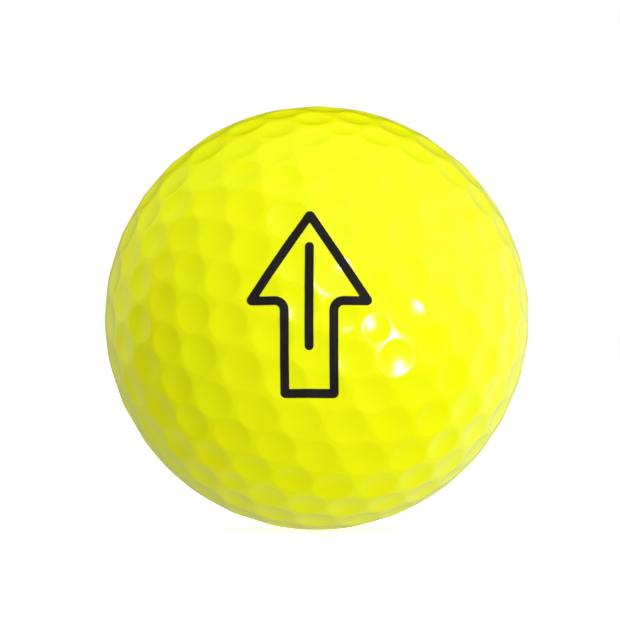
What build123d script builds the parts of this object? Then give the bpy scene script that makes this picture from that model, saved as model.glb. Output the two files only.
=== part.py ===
from build123d import *

import os
from itertools import combinations, permutations
from math import acos, asin, atan2, cos, degrees, hypot, pi, radians, sin

from build123d.topology import SkipClean

# A two-piece golf ball: a solid rubber core, a moulded cover with 362 dimples, and a
# printed alignment arrow that lies on the cover as a thin film of ink.
# Millimetres and degrees. The origin is the ball's centre, +Z is up, and the arrow
# faces -Y.

# Ball
ball_diameter = 42.7
cover_thickness = 1.85

# Dimples. Each is a shallow spherical bowl. Its span is the angle that its rim covers
# as seen from the ball's centre, and its wall meets the ball's sphere at edge_angle.
# They lie on the 20 faces of an icosahedron, seven to an edge, and each kind is named
# after its place on a face.
edge_angle = 15.0
span = {
    "corner": 7.4,
    "by_corner": 9.7,
    "along_edge": 9.9,
    "mid_edge": 10.2,
    "inside_corner": 10.2,
    "inside_edge": 10.55,
    "face_centre": 11.1,
}

# Places along the sides of a face, as shares of the arc from a corner
by_corner_share = 0.155  # of the arc to the next corner
along_edge_share = 0.327  # of the arc to the next corner
inside_corner_share = 0.471  # of the arc to the face's centre

# How the pattern is turned in the ball's frame: about X, then Y, then Z
pattern_turn = (28.4, 6.75, -4.0)

# Printed arrow
ink_thickness = 0.03
mark_width = 12.9
mark_height = 18.4
mark_head = 9.6  # length of the arrow's head
mark_shaft = 5.6  # width of the arrow's shaft
mark_stroke = 0.86
mark_corner = 0.5  # radius of the arrow's outer corners
mark_line = 10.4  # length of the sight line inside the arrow
mark_line_rise = 0.5  # how far the sight line's middle lies above the arrow's base middle
mark_raised = 4.5  # how far above the ball's equator the arrow points out
mark_aside = 2.0  # how far it points out to -X

# Working sizes of the cutting tools, which leave no mark on the ball
cutter_overrun = 0.4  # how much further than its rim a bowl is drawn, in degrees
cutter_headroom = 0.4  # how far a bowl's cutter stands above the ball

ball_radius = ball_diameter / 2
core_radius = ball_radius - cover_thickness


def arc_point(start, end, share):
    """The point that lies the given share of the way along the arc from start to end."""
    whole = acos(start.dot(end))
    return (start * sin((1 - share) * whole) + end * sin(share * whole)) / sin(whole)


def icosahedron_corners():
    """The 12 corners on the unit sphere: a pole, two rings of five, and a pole."""
    slope = atan2(1, 2)
    corners = [Vector(0, 0, 1), Vector(0, 0, -1)]
    for i in range(5):
        turn = 2 * pi * i / 5
        corners.append(Vector(cos(slope) * cos(turn), cos(slope) * sin(turn), sin(slope)))
        corners.append(-corners[-1])
    return corners


def face_sites(a, b, c):
    """Each dimple of one face, as its kind and its direction from the ball's centre."""
    centre = (a + b + c).normalized()
    yield "face_centre", centre
    for p, q, r in permutations((a, b, c)):
        yield "corner", p
        yield "by_corner", arc_point(p, q, by_corner_share)
        yield "along_edge", arc_point(p, q, along_edge_share)
        yield "mid_edge", (p + q).normalized()
        yield "inside_corner", arc_point(p, centre, inside_corner_share)
        yield "inside_edge", (p * 3 + q * 2 + r).normalized()


def dimple_sites():
    """Every dimple of the ball once, as its kind and its direction."""
    turn = Rotation(*pattern_turn)
    corners = [(turn * Pos(corner)).position for corner in icosahedron_corners()]
    neighbours = 2 * sin(atan2(2, 1) / 2)  # distance between corners that share an edge
    found = {}
    for trio in combinations(corners, 3):
        if all(abs((p - q).length - neighbours) < 1e-6 for p, q in combinations(trio, 2)):
            for kind, site in face_sites(*trio):
                found[tuple(round(x, 4) + 0.0 for x in site)] = (kind, site)
    return list(found.values())


def bowl_cutter(kind, lift=0.0):
    """The tool that cuts one kind of dimple, upright over the ball's centre.

    A lift draws the bowl and the ball's surface that much further out, which gives the
    outer face of a film of ink."""
    half_span = span[kind] / 2
    steepness = edge_angle - half_span
    bowl_radius = ball_radius * sin(radians(half_span)) / sin(radians(steepness))
    middle = ball_radius * cos(radians(half_span)) + bowl_radius * cos(radians(steepness))
    radius = bowl_radius - lift
    reach = radians(steepness + cutter_overrun)
    top = ball_radius + cutter_headroom

    def on_bowl(angle):
        return (radius * sin(angle), middle - radius * cos(angle))

    wall = ThreePointArc(on_bowl(0), on_bowl(reach / 2), on_bowl(reach))
    rest = Polyline(wall @ 1, (on_bowl(reach)[0], top), (0, top), wall @ 0)
    return revolve(Plane.XZ * make_face(wall + rest), Axis.Z)


def carve(blank, sites, lift=0.0):
    """The blank with the given dimples cut into it, one kind after another."""
    for kind in span:
        cutter = bowl_cutter(kind, lift)
        places = [Plane((0, 0, 0), z_dir=site).location for which, site in sites if which == kind]
        if places:
            blank -= [place * cutter for place in places]
    return blank


def in_patches(solid):
    """The same solid with its faces divided along the ball's three main planes.

    A whole sphere is one face, and with hundreds of holes in it, it has no outer edge
    that says which side of a hole is material. Each patch has one."""
    pieces = [solid]
    with SkipClean():
        for plane in (Plane.XY, Plane.XZ, Plane.YZ):
            halves = [split(piece, plane, side) for piece in pieces for side in (Keep.TOP, Keep.BOTTOM)]
            pieces = [piece for half in halves for piece in half.solids()]
        return Part() + pieces


def make_core():
    return Sphere(core_radius)


def make_cover(sites):
    return in_patches(carve(Sphere(ball_radius) - Sphere(core_radius), sites))


def mark_outline():
    """The arrow as flat strokes: its outline, and the sight line inside it."""
    half_width, half_height, half_shaft = mark_width / 2, mark_height / 2, mark_shaft / 2
    neck = half_height - mark_head
    right = [(half_width, neck), (half_shaft, neck), (half_shaft, -half_height)]
    left = [(-x, y) for x, y in reversed(right)]
    arrow = make_face(Polyline((0, half_height), *right, *left, close=True))
    arrow = fillet(arrow.vertices(), mark_corner)
    line = Pos(0, mark_line_rise) * SlotOverall(mark_line, mark_stroke, rotation=90)
    return arrow - offset(arrow, -mark_stroke) + line


def make_printed_mark(sites):
    """A film of even thickness that follows the land and the bowls under the arrow."""
    raised, aside = radians(mark_raised), radians(mark_aside)
    out = Vector(-sin(aside) * cos(raised), -cos(aside) * cos(raised), sin(raised))
    facing = Plane((0, 0, 0), x_dir=(cos(aside), -sin(aside), 0), z_dir=out)
    reach = degrees(asin(hypot(mark_width, mark_height) / ball_diameter))
    near = [site for site in sites if site[1].get_angle(out) < reach + max(span.values())]
    column = facing * extrude(mark_outline(), ball_diameter)
    film = carve(column & Sphere(ball_radius + ink_thickness), near, ink_thickness)
    return film - carve(Sphere(ball_radius), near)


def main():
    sites = dimple_sites()
    print(len(sites), "dimples")
    os.makedirs("parts", exist_ok=True)
    export_step(make_core(), "parts/core.step")
    export_step(make_cover(sites), "parts/cover.step")
    export_step(make_printed_mark(sites), "parts/printed_mark.step")


main()
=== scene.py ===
import math

import bpy
import numpy as np
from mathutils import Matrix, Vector


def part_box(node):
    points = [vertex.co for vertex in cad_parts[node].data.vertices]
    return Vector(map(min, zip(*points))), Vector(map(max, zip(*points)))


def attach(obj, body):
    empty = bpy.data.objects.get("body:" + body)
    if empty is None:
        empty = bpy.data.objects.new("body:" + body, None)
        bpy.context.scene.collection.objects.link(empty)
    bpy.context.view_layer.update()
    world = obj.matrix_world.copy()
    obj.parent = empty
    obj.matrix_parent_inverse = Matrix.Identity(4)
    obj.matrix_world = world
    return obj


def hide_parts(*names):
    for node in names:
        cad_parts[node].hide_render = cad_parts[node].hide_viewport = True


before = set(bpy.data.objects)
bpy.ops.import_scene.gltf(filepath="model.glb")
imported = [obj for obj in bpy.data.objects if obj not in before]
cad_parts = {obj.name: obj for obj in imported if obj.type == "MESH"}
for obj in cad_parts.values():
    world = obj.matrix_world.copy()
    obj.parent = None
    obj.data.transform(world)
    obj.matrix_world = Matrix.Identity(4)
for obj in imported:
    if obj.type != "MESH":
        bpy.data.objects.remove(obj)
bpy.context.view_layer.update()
coverLow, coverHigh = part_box("cover")
ballRadius = (coverHigh.z - coverLow.z) / 2
mm = 0.001


# the dimples lie on the 20 faces of an icosahedron
dimples = {
    "edgeAngle": 15.0,  # between a bowl's wall and the ball's sphere, degrees
    "rimSoftness": 0.24 * mm,  # how far the rounding reaches each side of a rim
    "byCornerShare": 0.155,  # how far along an edge the dimple beside a corner lies
    "alongEdgeShare": 0.327,  # and the one after it
    "insideCornerShare": 0.471,  # how far the first one inside a face lies from a corner to the middle
    "turn": (28.4, 6.75, -4.0),  # about X, then Y, then Z, degrees
    "spans": {  # degrees seen from the ball's centre, by place on an icosahedron's face
        (6, 0, 0): 7.4,
        (5, 1, 0): 9.7,
        (4, 2, 0): 9.9,
        (3, 3, 0): 10.2,
        (4, 1, 1): 10.2,
        (3, 2, 1): 10.55,
        (2, 2, 2): 11.1,
    },
}
perEdge = 6  # seven dimples, six gaps, along each edge of a face


def unit(vector):
    return vector / np.linalg.norm(vector)


def arcPoint(start, end, share, whole=None):
    # the point that share of the way along the arc from start to end, which spans the whole angle
    whole = whole or math.acos(np.dot(start, end))
    return (start * math.sin((1 - share) * whole) + end * math.sin(share * whole)) / math.sin(whole)


def turnMatrix(angles):
    matrix = np.eye(3)
    for axis, angle in enumerate(angles):
        cosine, sine = math.cos(math.radians(angle)), math.sin(math.radians(angle))
        step = np.eye(3)
        i, j = (axis + 1) % 3, (axis + 2) % 3
        step[i, i] = step[j, j] = cosine
        step[i, j], step[j, i] = -sine, sine
        matrix = matrix @ step
    return matrix


def icosahedronFaces():
    slope = math.atan2(1, 2)
    corners = [np.array([0, 0, 1.0]), np.array([0, 0, -1.0])]
    for i in range(5):
        turn = math.tau * i / 5
        flat = math.cos(slope)
        corners.append(np.array([flat * math.cos(turn), flat * math.sin(turn), math.sin(slope)]))
        corners.append(-corners[-1])
    turned = [turnMatrix(dimples["turn"]) @ corner for corner in corners]
    near = math.cos(math.atan2(2, 1)) - 1e-6
    for i, a in enumerate(turned):
        for j, b in enumerate(turned[:i]):
            for c in turned[:j]:
                if min(a @ b, b @ c, c @ a) > near:
                    yield a, b, c


def siteDirection(weights, corners):
    # corners come heaviest first, and so do their weights
    a, b, c = corners
    if weights == (5, 1, 0):
        return arcPoint(a, b, dimples["byCornerShare"])
    if weights == (4, 2, 0):
        return arcPoint(a, b, dimples["alongEdgeShare"])
    if weights == (4, 1, 1):
        return arcPoint(a, unit(a + b + c), dimples["insideCornerShare"])
    return unit(weights[0] * a + weights[1] * b + weights[2] * c)


def layOutDimples():
    # every site once, its half span, and the triangles of neighbouring sites
    sites, halves, triangles, found = [], [], [], {}
    for face in icosahedronFaces():
        number = {}
        for i in range(perEdge + 1):
            for j in range(perEdge + 1 - i):
                weights = (i, j, perEdge - i - j)
                order = sorted(range(3), key=lambda k: -weights[k])
                sortedWeights = tuple(weights[k] for k in order)
                site = siteDirection(sortedWeights, [face[k] for k in order])
                key = tuple(np.round(site, 4) + 0.0)
                if key not in found:
                    found[key] = len(sites)
                    sites.append(site)
                    halves.append(math.radians(dimples["spans"][sortedWeights] / 2))
                number[i, j] = found[key]
        for i in range(perEdge):
            for j in range(perEdge - i):
                triangles.append((number[i, j], number[i + 1, j], number[i, j + 1]))
                if i + j < perEdge - 1:
                    triangles.append((number[i + 1, j], number[i + 1, j + 1], number[i, j + 1]))
    return np.array(sites), np.array(halves), triangles


sites, halfSpans, siteTriangles = layOutDimples()
bowlSteepness = math.radians(dimples["edgeAngle"]) - halfSpans
bowlRadii = ballRadius * np.sin(halfSpans) / np.sin(bowlSteepness)
bowlMiddles = ballRadius * np.cos(halfSpans) + bowlRadii * np.cos(bowlSteepness)
print("pattern:", len(sites), "dimples")


def surfaceRadius(directions):
    # how far the moulded surface lies from the ball's centre, along each direction
    soft = dimples["rimSoftness"] * math.tan(math.radians(dimples["edgeAngle"]))
    blocks = max(1, len(directions) // 4000)  # spares memory: a block against all dimples at once
    heights = []
    for block in np.array_split(directions, blocks):
        along = (block @ sites.T) * bowlMiddles
        aside = bowlRadii**2 - bowlMiddles**2 + along**2
        bowl = along - np.sqrt(np.maximum(aside, 0))
        depth = np.where((aside > 0) & (along > 0), ballRadius - bowl, -1.0)
        rounded = np.clip(depth + soft, 0, 2 * soft) ** 2 / (4 * soft)
        drop = np.where(depth > soft, depth, rounded)
        heights.append(ballRadius - drop.sum(axis=1))
    return np.concatenate(heights)


# the cover is meshed in cells, with rings of points round each dimple
coverMesh = {
    "stepsPerSide": 6,  # faces along each side of a dimple's cell
    "bowlRings": (0.38, 0.7),  # shares of the way from a bowl's middle to its rim
    "rimRings": (-0.24 * mm, -0.12 * mm, 0.0),  # how far beyond the rim, so two lie inside it
    "landRings": ((0.11 * mm, 0.34), (0.23 * mm, 0.72)),  # beyond it, at most that share of the land
}


def cellCorner(trio):
    # the direction that lies evenly between three neighbouring rims
    planes = sites[list(trio)] / np.cos(halfSpans[list(trio)])[:, None]
    return unit(np.linalg.solve(planes, np.ones(3)))


def newMesh(name, points, faces):
    mesh = bpy.data.meshes.new(name)
    mesh.from_pydata([tuple(point) for point in points], [], faces)
    mesh.validate()
    mesh.shade_smooth()
    mesh.update()
    piece = bpy.data.objects.new(name, mesh)
    bpy.context.scene.collection.objects.link(piece)
    return piece


def cellLinks():
    # for each site, the triangle that follows each of its neighbours, and the neighbour after that
    around = {}
    for t, (a, b, c) in enumerate(siteTriangles):
        if np.linalg.det(sites[[a, b, c]]) < 0:
            b, c = c, b
        for site, behind, ahead in ((a, b, c), (b, c, a), (c, a, b)):
            around.setdefault(site, {})[behind] = (t, ahead)
    return around


def ringAngles(half, reach):
    # how far from a dimple's middle its rings lie, where the cell's side is at the angle reach
    angles = [share * half for share in coverMesh["bowlRings"]]
    angles += [half + offset / ballRadius for offset in coverMesh["rimRings"]]
    for offset, share in coverMesh["landRings"]:
        angles.append(half + min(offset / ballRadius, share * (reach - half)))
    return angles


def makeCover():
    points = [cellCorner(trio) for trio in siteTriangles]
    steps = coverMesh["stepsPerSide"]
    sides = {}

    def sidePoints(first, last):
        # the points between two corners, made once for the two cells that share them
        key = (min(first, last), max(first, last))
        if key not in sides:
            sides[key] = range(len(points), len(points) + steps - 1)
            points.extend(arcPoint(points[key[0]], points[key[1]], i / steps) for i in range(1, steps))
        return list(sides[key]) if key[0] == first else list(reversed(sides[key]))

    faces = []
    for site, links in cellLinks().items():
        middle, half = sites[site], halfSpans[site]
        loop, neighbour = [], next(iter(links))
        for _ in links:
            triangle, ahead = links[neighbour]
            loop += [triangle, *sidePoints(triangle, links[ahead][0])]
            neighbour = ahead
        ringStart = len(points)
        for corner in loop:
            edge = points[corner]
            reach = math.acos(np.dot(middle, edge))
            out = unit(edge - middle * np.dot(middle, edge))
            angles = ringAngles(half, reach)
            points.extend(middle * math.cos(angle) + out * math.sin(angle) for angle in angles)
        points.append(middle)
        rings = len(angles)
        for i in range(len(loop)):
            j = (i + 1) % len(loop)
            here, there = ringStart + i * rings, ringStart + j * rings
            faces.append((len(points) - 1, here, there))
            faces += [(here + k, here + k + 1, there + k + 1, there + k) for k in range(rings - 1)]
            faces.append((here + rings - 1, loop[i], loop[j], there + rings - 1))
    directions = np.array(points)
    return newMesh("moulded_cover", directions * surfaceRadius(directions)[:, None], faces)


cover = makeCover()
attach(cover, "root")
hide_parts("cover")
print("cover:", len(cover.data.polygons), "faces")


# the printed arrow: an outline and a sight line, as a thin film of ink on the cover
arrowPrint = {
    "width": 12.9 * mm,
    "height": 18.4 * mm,
    "head": 9.6 * mm,
    "shaft": 5.6 * mm,
    "stroke": 0.86 * mm,
    "corner": 0.5 * mm,  # radius of the outer corners
    "innerCorner": 0.06 * mm,
    "line": 10.4 * mm,
    "lineRise": 0.5 * mm,
    "capAngles": (80, 64, 48, 32, 16),  # points round each end of the line, degrees
    "raised": 4.5,  # how far above the equator it faces, degrees
    "aside": 2.0,  # how far to -X it faces, degrees
    "ink": 0.03 * mm,
    "sink": 0.03 * mm,  # how far the film's underside lies in the cover
    "rows": 6,  # of faces across a stroke
    "step": 0.22 * mm,  # between points along a stroke
    "sharpAngle": 40,  # edges sharper than this aren't smoothed over, degrees
}


def arrowCorners(inset):
    # the arrow's corners from its tip clockwise, drawn in from its edge by the inset
    halfWidth, halfHeight = arrowPrint["width"] / 2, arrowPrint["height"] / 2
    halfShaft, neck = arrowPrint["shaft"] / 2, halfHeight - arrowPrint["head"]
    right = [(halfWidth, neck), (halfShaft, neck), (halfShaft, -halfHeight)]
    corners = np.array([(0, halfHeight), *right, *[(-x, y) for x, y in reversed(right)]])
    sides = np.roll(corners, -1, axis=0) - corners
    inward = np.array([unit((y, -x)) for x, y in sides])
    edges = (inward * corners).sum(axis=1) + inset
    pairs = zip(np.roll(inward, 1, axis=0), inward, np.roll(edges, 1), edges)
    return [np.linalg.solve([before, after], [first, second]) for before, after, first, second in pairs]


def roundedLoop(corners, radii, sideSteps, arcSteps=6):
    # a closed line of points with an arc at each corner
    arcs = []
    for i, corner in enumerate(corners):
        back, ahead = unit(corners[i - 1] - corner), unit(corners[(i + 1) % len(corners)] - corner)
        half = math.acos(np.dot(back, ahead)) / 2
        middle = corner + unit(back + ahead) * radii[i] / math.sin(half)
        first, last = (corner + way * radii[i] / math.tan(half) - middle for way in (back, ahead))
        whole = math.pi - 2 * half
        arcs.append([middle + arcPoint(first, last, j / arcSteps, whole) for j in range(arcSteps + 1)])
    points = []
    for i, arc in enumerate(arcs):
        start, end = arc[-1], arcs[(i + 1) % len(arcs)][0]
        points += arc
        points += [start + (end - start) * j / sideSteps[i] for j in range(1, sideSteps[i])]
    return np.array(points)


def outlineStroke():
    corner, innerCorner, stroke = arrowPrint["corner"], arrowPrint["innerCorner"], arrowPrint["stroke"]
    outer, inner = arrowCorners(0), arrowCorners(stroke)
    sideLengths = np.linalg.norm(np.roll(outer, -1, axis=0) - outer, axis=1)
    sideSteps = [max(4, round(length / arrowPrint["step"])) for length in sideLengths]
    necks = (2, 5)  # the corners where the shaft meets the head
    innerRadii = [corner + stroke if i in necks else innerCorner for i in range(len(inner))]
    outside = roundedLoop(outer, [corner] * len(outer), sideSteps)
    inside = roundedLoop(inner, innerRadii, sideSteps)
    shares = np.linspace(0, 1, arrowPrint["rows"] + 1)[None, :, None]
    return outside[:, None] * (1 - shares) + inside[:, None] * shares


def sightLine():
    radius = arrowPrint["stroke"] / 2
    straight, rise = arrowPrint["line"] / 2 - radius, arrowPrint["lineRise"]
    capAngles = [math.radians(angle) for angle in arrowPrint["capAngles"]]
    cap = [(straight + radius * math.sin(angle), radius * math.cos(angle)) for angle in capAngles]
    bodySteps = round(2 * straight / arrowPrint["step"])
    body = [(y, radius) for y in np.linspace(straight, -straight, bodySteps)]
    outline = cap + body + [(-y, half) for y, half in reversed(cap)]
    shares = np.linspace(-1, 1, arrowPrint["rows"] + 1)
    return np.array([[(half * share, y + rise) for share in shares] for y, half in outline])


def ontoCover(flat, lift):
    # carries flat points straight back along the way the arrow faces, until they meet the cover
    raised, aside = math.radians(arrowPrint["raised"]), math.radians(arrowPrint["aside"])
    across = np.array((math.cos(aside), -math.sin(aside), 0))
    ahead = np.array((-math.sin(aside), -math.cos(aside), 0))
    out = ahead * math.cos(raised) + np.array((0, 0, math.sin(raised)))
    level = flat[:, :1] * across + flat[:, 1:] * np.cross(out, across)
    reach = np.full(len(flat), ballRadius)
    for _ in range(5):  # each round comes closer to the cover
        rise = np.sqrt(reach**2 - (flat**2).sum(axis=1))
        points = level + rise[:, None] * out
        reach = surfaceRadius(points / np.linalg.norm(points, axis=1)[:, None]) + lift
    return points


def makeArrow():
    points, faces = [], []
    for grid, closed in ((outlineStroke(), True), (sightLine(), False)):
        count, rows = grid.shape[:2]
        flat = grid.reshape(-1, 2)
        top, last = len(points), rows - 1
        under = top + len(flat)
        points.extend(ontoCover(flat, arrowPrint["ink"]))
        points.extend(ontoCover(flat, -arrowPrint["sink"]))
        for i in range(count if closed else count - 1):
            here, there = i * rows, (i + 1) % count * rows
            for k in range(last):
                a, b = here + k, there + k
                faces.append((top + a, top + a + 1, top + b + 1, top + b))
                faces.append((under + a, under + b, under + b + 1, under + a + 1))
            faces.append((top + here, top + there, under + there, under + here))
            a, b = here + last, there + last
            faces.append((top + a, under + a, under + b, top + b))
        if not closed:
            for k in range(last):
                a, b = k, (count - 1) * rows + k
                faces.append((top + a, under + a, under + a + 1, top + a + 1))
                faces.append((top + b, top + b + 1, under + b + 1, under + b))
    film = newMesh("printed_arrow", points, faces)
    film.data.set_sharp_from_angle(angle=math.radians(arrowPrint["sharpAngle"]))
    return film


arrow = makeArrow()
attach(arrow, "root")
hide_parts("printed_mark")
print("arrow:", len(arrow.data.polygons), "faces")


class Wire:
    # a socket that can be used in sums, differences and products
    def __init__(self, finish, socket):
        self.finish = finish
        self.socket = socket

    def maths(self, operation, first, second):
        return self.finish.add("ShaderNodeMath", {"operation": operation}, {0: first, 1: second})

    def __add__(self, other):
        return self.maths("ADD", self, other)

    def __radd__(self, other):
        return self.maths("ADD", other, self)

    def __sub__(self, other):
        return self.maths("SUBTRACT", self, other)

    def __rsub__(self, other):
        return self.maths("SUBTRACT", other, self)

    def __mul__(self, other):
        return self.maths("MULTIPLY", self, other)

    def __rmul__(self, other):
        return self.maths("MULTIPLY", other, self)


class Finish:
    # one material, or the world, and the nodes in it
    def __init__(self, owner):
        owner.use_nodes = True
        self.owner = owner
        self.tree = owner.node_tree
        self.tree.nodes.clear()

    def add(self, kind, settings=None, sockets=None, output=0):
        node = self.tree.nodes.new(kind)
        for name, value in (settings or {}).items():
            setattr(node, name, value)
        for name, value in (sockets or {}).items():
            if isinstance(value, Wire):
                self.tree.links.new(value.socket, node.inputs[name])
            else:
                node.inputs[name].default_value = value
        return Wire(self, node.outputs[output]) if node.outputs else node

    def place(self):
        return self.add("ShaderNodeTexCoord", output="Object")

    def noise(self, size, detail=3.0, roughness=0.5):
        sockets = {"Vector": self.place(), "Scale": 1 / size, "Detail": detail, "Roughness": roughness}
        return self.add("ShaderNodeTexNoise", {}, sockets)

    def span(self, value, low, high, start=0.0, end=1.0):
        sockets = {"Value": value, "From Min": low, "From Max": high, "To Min": start, "To Max": end}
        return self.add("ShaderNodeMapRange", {"interpolation_type": "SMOOTHSTEP"}, sockets)

    def blend(self, factor, first, second):
        # the colour sockets of a Mix node come after its number and vector ones
        return self.add("ShaderNodeMix", {"data_type": "RGBA"}, {0: factor, 6: first, 7: second}, 2)

    def bump(self, height, distance, strength):
        sockets = {"Height": height, "Distance": distance, "Strength": strength}
        return self.add("ShaderNodeBump", {}, sockets)

    def surface(self, sockets):
        shader = self.add("ShaderNodeBsdfPrincipled", {}, sockets)
        self.add("ShaderNodeOutputMaterial", {}, {"Surface": shader})
        return self.owner


cloudRange = (0.35, 0.65)  # where a noise's clouds start and are full
grainRange = (0.3, 0.7)


coverFinish = {
    "yellow": (0.945, 1.0, 0.0012, 1),
    "deepYellow": (0.915, 0.965, 0.001, 1),
    "glow": 0.12,  # painted glow: neon pigment turns unseen light into yellow, and here the cover gives out that yellow evenly, so its shaded side is lifted too
    "lacquerRoughness": 0.16,
    "bodyRoughness": (0.3, 0.42),
    "mottleSize": 3.0 * mm,
    "grainSize": 0.35 * mm,
    "peelSize": 0.5 * mm,
    "peelHeight": 0.0006 * mm,
}


def makeCoverFinish():
    finish = Finish(bpy.data.materials.new("neonYellowCover"))
    mottle = finish.span(finish.noise(coverFinish["mottleSize"], 4.0), *cloudRange)
    grain = finish.noise(coverFinish["grainSize"], 2.0)
    peel = finish.noise(coverFinish["peelSize"], 2.0)
    sockets = {
        "Base Color": finish.blend(mottle, coverFinish["yellow"], coverFinish["deepYellow"]),
        "Roughness": finish.span(grain, *grainRange, *coverFinish["bodyRoughness"]),
        "Specular IOR Level": 0.0,
        # painted glow, the same all over the cover, in shade as much as in light
        "Emission Color": coverFinish["yellow"],
        "Emission Strength": coverFinish["glow"],
        "Coat Weight": 1.0,
        "Coat Roughness": coverFinish["lacquerRoughness"],
        "Normal": finish.bump(peel, coverFinish["peelHeight"], 1.0),
    }
    return finish.surface(sockets)


inkFinish = {
    "black": (0.0168, 0.0143, 0.0152, 1),
    "paleBlack": (0.0205, 0.0178, 0.0188, 1),
    "roughness": (0.55, 0.7),
    "cloudSize": 2.5 * mm,
    "grainSize": 0.12 * mm,
    "grainHeight": 0.002 * mm,
}


def makeInkFinish():
    finish = Finish(bpy.data.materials.new("mattBlackInk"))
    cloud = finish.span(finish.noise(inkFinish["cloudSize"], 4.0), *cloudRange)
    grain = finish.noise(inkFinish["grainSize"], 3.0)
    sockets = {
        "Base Color": finish.blend(cloud, inkFinish["black"], inkFinish["paleBlack"]),
        "Roughness": finish.span(grain, *grainRange, *inkFinish["roughness"]),
        "Specular IOR Level": 0.1,
        "Normal": finish.bump(grain, inkFinish["grainHeight"], 0.5),
    }
    return finish.surface(sockets)


coreFinish = {
    "rubber": (0.16, 0.2, 0.26, 1),
    "darkRubber": (0.11, 0.14, 0.19, 1),
    "fleck": (0.34, 0.38, 0.42, 1),
    "roughness": (0.72, 0.9),
    "cloudSize": 6.0 * mm,
    "fleckSize": 0.6 * mm,
    "fleckRange": (0.66, 0.74),  # only the noise's peaks
    "grainSize": 0.25 * mm,
    "grainHeight": 0.02 * mm,
}


def makeCoreFinish():
    finish = Finish(bpy.data.materials.new("mattCoreRubber"))
    cloud = finish.span(finish.noise(coreFinish["cloudSize"], 5.0), *cloudRange)
    flecks = finish.span(finish.noise(coreFinish["fleckSize"], 2.0), *coreFinish["fleckRange"])
    grain = finish.noise(coreFinish["grainSize"], 4.0)
    rubber = finish.blend(cloud, coreFinish["rubber"], coreFinish["darkRubber"])
    sockets = {
        "Base Color": finish.blend(flecks, rubber, coreFinish["fleck"]),
        "Roughness": finish.span(grain, *grainRange, *coreFinish["roughness"]),
        "Specular IOR Level": 0.3,
        "Normal": finish.bump(grain, coreFinish["grainHeight"], 0.6),
    }
    return finish.surface(sockets)


cover.data.materials.append(makeCoverFinish())
arrow.data.materials.append(makeInkFinish())
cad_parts["core"].material_slots[0].material = makeCoreFinish()
print("finishes: lacquered cover, matt ink and core rubber")


stageLooks = {
    "floorSize": 3.0,
    "floorColour": (0.88, 0.88, 0.88, 1),
    "floorGrain": (0.92, 0.92, 0.92, 1),
    "floorGrainSize": 20 * mm,
    "floorGlow": (0.78, 0.03, 0.25),  # beside the ball, and the distances between which it rises to 1
    "backdrop": 1.0,
    "ambient": 0.37,
    "tableGlow": 0.32,  # what the gloss shows of the room behind and below the ball
    "glowBehind": (0.1, 0.8),  # how far back a direction points where that starts and is full
    "glowBelow": (-0.05, 0.35),  # how high it points where that is full and has gone
}

# pale walls that only the gloss shows: azimuth and elevation, the angles from there
# that they reach to at full strength and fade out by, and the strength
walls = {
    "rightWall": (88, 16, 8, 40, 0.55),
    "ceiling": (60, 55, 10, 62, 0.42),
    "leftWall": (-128, 16, 5, 32, 0.22),
    "backWall": (132, -4, 12, 48, 0.4),
}

# azimuth and elevation in degrees, width and height in metres, and how bright the lamp makes
# a white surface that faces it
lamps = {
    "keyLight": (40, -10, 0.17, 0.26, 0.38),
    "smallLight": (4, 16, 0.13, 0.14, 0.11),
    "frontFill": (20, 45, 0.9, 0.9, 0.23),
    "rightFill": (120, -25, 0.9, 0.9, 0.24),
    "topFill": (215, 60, 0.9, 0.9, 0.47),
    "backFill": (140, 32, 0.9, 0.9, 0.29),
    "leftFill": (270, 35, 0.9, 0.9, 0.08),
    "lowFill": (205, -50, 0.9, 0.9, 0.21),
}
lampDistance = 1.0
lampsInGloss = ("keyLight", "smallLight")  # the only ones that show in the lacquer


def toward(azimuth, elevation):
    # azimuth 0 is the side that the arrow faces, and 90 is the side to the right of it
    turn, rise = math.radians(azimuth), math.radians(elevation)
    return Vector((math.sin(turn) * math.cos(rise), -math.cos(turn) * math.cos(rise), math.sin(rise)))


def makeFloor():
    half = stageLooks["floorSize"] / 2
    corners = ((-half, -half), (half, -half), (half, half), (-half, half))
    floor = newMesh("floor", [(x, y, coverLow.z) for x, y in corners], [(0, 1, 2, 3)])
    finish = Finish(bpy.data.materials.new("paleFloor"))
    grain = finish.noise(stageLooks["floorGrainSize"])
    nearGlow, nearReach, farReach = stageLooks["floorGlow"]
    away = finish.add("ShaderNodeVectorMath", {"operation": "LENGTH"}, {0: finish.place()}, 1)
    glow = finish.span(away, nearReach, farReach)
    sockets = {
        "Base Color": finish.blend(grain, stageLooks["floorColour"], stageLooks["floorGrain"]),
        "Roughness": 0.8,
        "Specular IOR Level": 0.0,
        "Emission Color": finish.blend(glow, (nearGlow, nearGlow, nearGlow, 1), (1, 1, 1, 1)),
        "Emission Strength": 1.0,
    }
    floor.data.materials.append(finish.surface(sockets))
    floor.visible_glossy = False
    floor.visible_diffuse = False
    floor.visible_shadow = False


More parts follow.
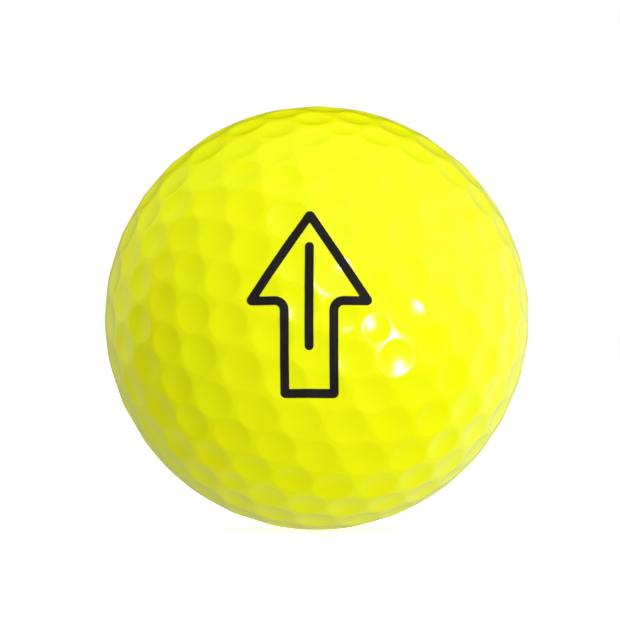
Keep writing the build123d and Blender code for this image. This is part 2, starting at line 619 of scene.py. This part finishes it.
def makeSky():
    world = bpy.data.worlds.new("studio")
    bpy.context.scene.world = world
    finish = Finish(world)
    direction = finish.add("ShaderNodeTexCoord", output="Generated")
    behind = finish.add("ShaderNodeSeparateXYZ", {}, {0: direction}, 1)
    height = finish.add("ShaderNodeSeparateXYZ", {}, {0: direction}, 2)
    table = finish.span(behind, *stageLooks["glowBehind"], 0.0, stageLooks["tableGlow"])
    room = table * (1 - finish.span(height, *stageLooks["glowBelow"]))
    for azimuth, elevation, reach, fade, paleness in walls.values():
        sockets = {0: direction, 1: toward(azimuth, elevation)}
        facing = finish.add("ShaderNodeVectorMath", {"operation": "DOT_PRODUCT"}, sockets, 1)
        low, high = math.cos(math.radians(fade)), math.cos(math.radians(reach))
        room = room + finish.span(facing, low, high, 0.0, paleness)
    cameraRay = finish.add("ShaderNodeLightPath", output="Is Camera Ray")
    glossyRay = finish.add("ShaderNodeLightPath", output="Is Glossy Ray")
    diffuseRay = finish.add("ShaderNodeLightPath", output="Is Diffuse Ray")
    backdrop = cameraRay * stageLooks["backdrop"]
    strength = glossyRay * room + backdrop + diffuseRay * stageLooks["ambient"]
    sky = finish.add("ShaderNodeBackground", {}, {"Color": (1, 1, 1, 1), "Strength": strength})
    finish.add("ShaderNodeOutputWorld", {}, {"Surface": sky})


def makeLights():
    for name, (azimuth, elevation, width, height, brightness) in lamps.items():
        lamp = bpy.data.lights.new(name, "AREA")
        lamp.shape = "ELLIPSE"
        lamp.size = width
        lamp.size_y = height
        lamp.energy = brightness * (math.pi * lampDistance) ** 2
        holder = bpy.data.objects.new(name, lamp)
        holder.location = toward(azimuth, elevation) * lampDistance
        holder.rotation_mode = "QUATERNION"
        holder.rotation_quaternion = (-holder.location).to_track_quat("-Z", "Y")
        holder.visible_glossy = name in lampsInGloss
        bpy.context.scene.collection.objects.link(holder)


cameraView = {
    "lens": 227.7,
    "sensor": 36,
    "shift": (-0.0109, 0.0131),
    "distance": 0.3959,  # from the ball's centre
    "clip": (0.05, 20),
}


def makeCamera():
    camera = bpy.data.cameras.new("camera")
    camera.lens = cameraView["lens"]
    camera.sensor_width = cameraView["sensor"]
    camera.shift_x, camera.shift_y = cameraView["shift"]
    camera.clip_start, camera.clip_end = cameraView["clip"]
    holder = bpy.data.objects.new("camera", camera)
    holder.location = (0, -cameraView["distance"], 0)
    holder.rotation_euler = (math.radians(90), 0, 0)
    bpy.context.scene.collection.objects.link(holder)
    bpy.context.scene.camera = holder


makeFloor()
makeSky()
makeLights()
makeCamera()
bpy.context.scene.view_settings.view_transform = "Standard"
print("stage: floor, sky, lights and camera")
